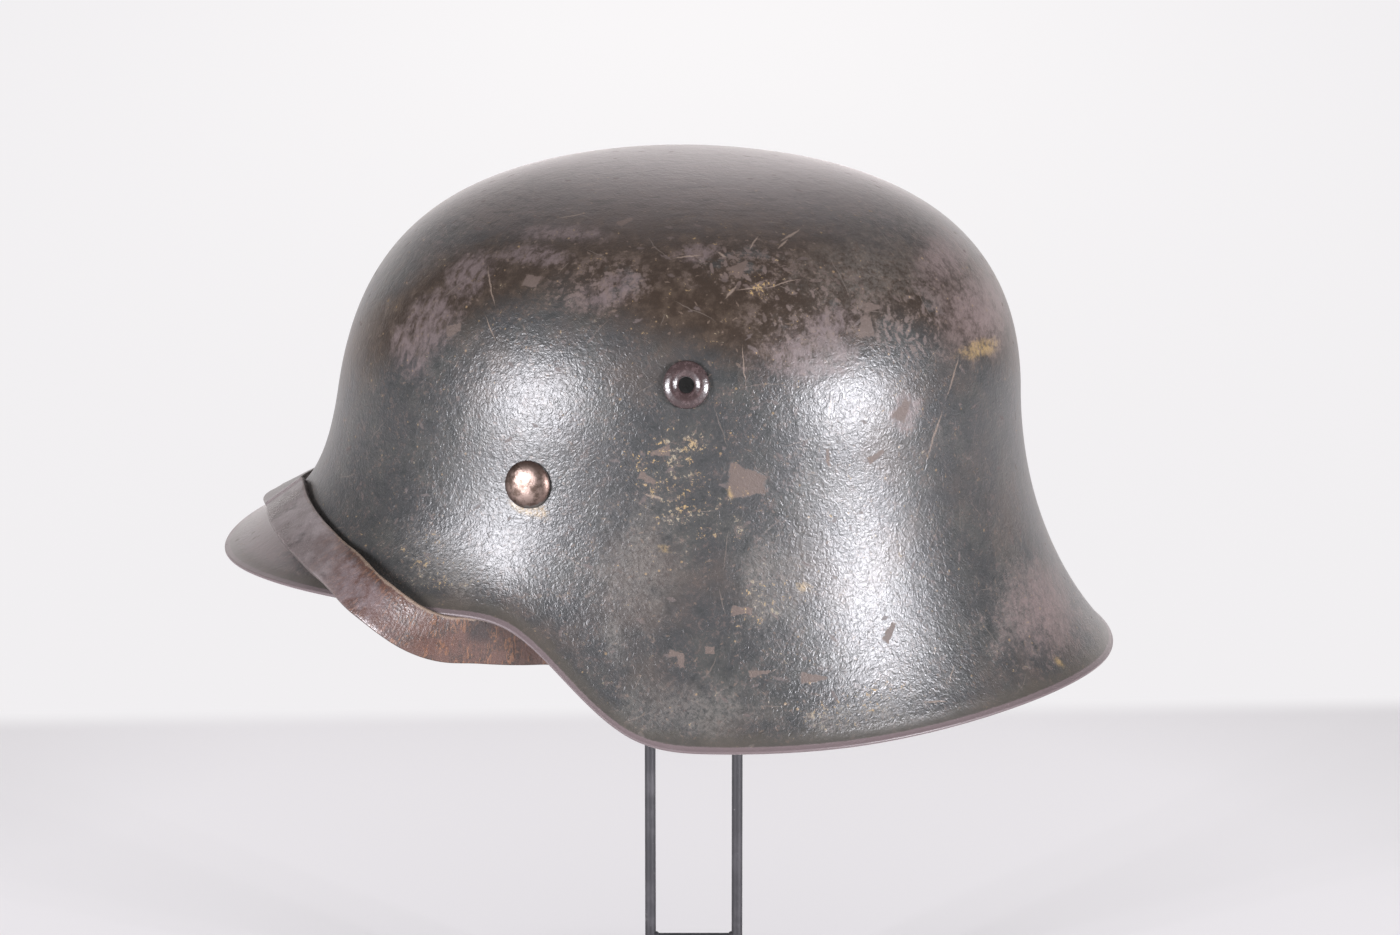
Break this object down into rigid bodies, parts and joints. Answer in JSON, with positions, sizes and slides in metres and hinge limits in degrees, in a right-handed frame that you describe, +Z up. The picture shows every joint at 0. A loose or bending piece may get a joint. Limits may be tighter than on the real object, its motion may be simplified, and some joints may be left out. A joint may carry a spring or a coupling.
{
  "type": "military steel helmet on a wire stand",
  "caption": "Pressed steel military helmet in worn dark green paint, leather chin strap laid over the visor, on a plain two-rod stand.",
  "frame": {"origin": "middle of the stand's foot, on its underside", "axes": "+Z up, the helmet's front faces -X and its left side faces -Y"},
  "size_m": [0.2936, 0.233, 0.302],
  "materials": {
    "shell_paint": "worn, pebbled dark green paint, half gloss",
    "rivet_metal": "bare worn metal with a copper tone",
    "lug_steel": "plain dull steel",
    "leather": "old reddish brown leather, polished by wear",
    "stand_wire": "dark grey paint",
    "pad_felt": "matt"
  },
  "bodies": {
    "root": {"helmet_shell": "shell_paint", "rivet_left": "rivet_metal", "rivet_right": "rivet_metal", "strap_lug_left": "lug_steel", "strap_lug_right": "lug_steel", "chin_strap": "leather", "stand_frame": "stand_wire", "stand_foot": "stand_wire", "stand_pad": "pad_felt"}
  },
  "joints": []
}
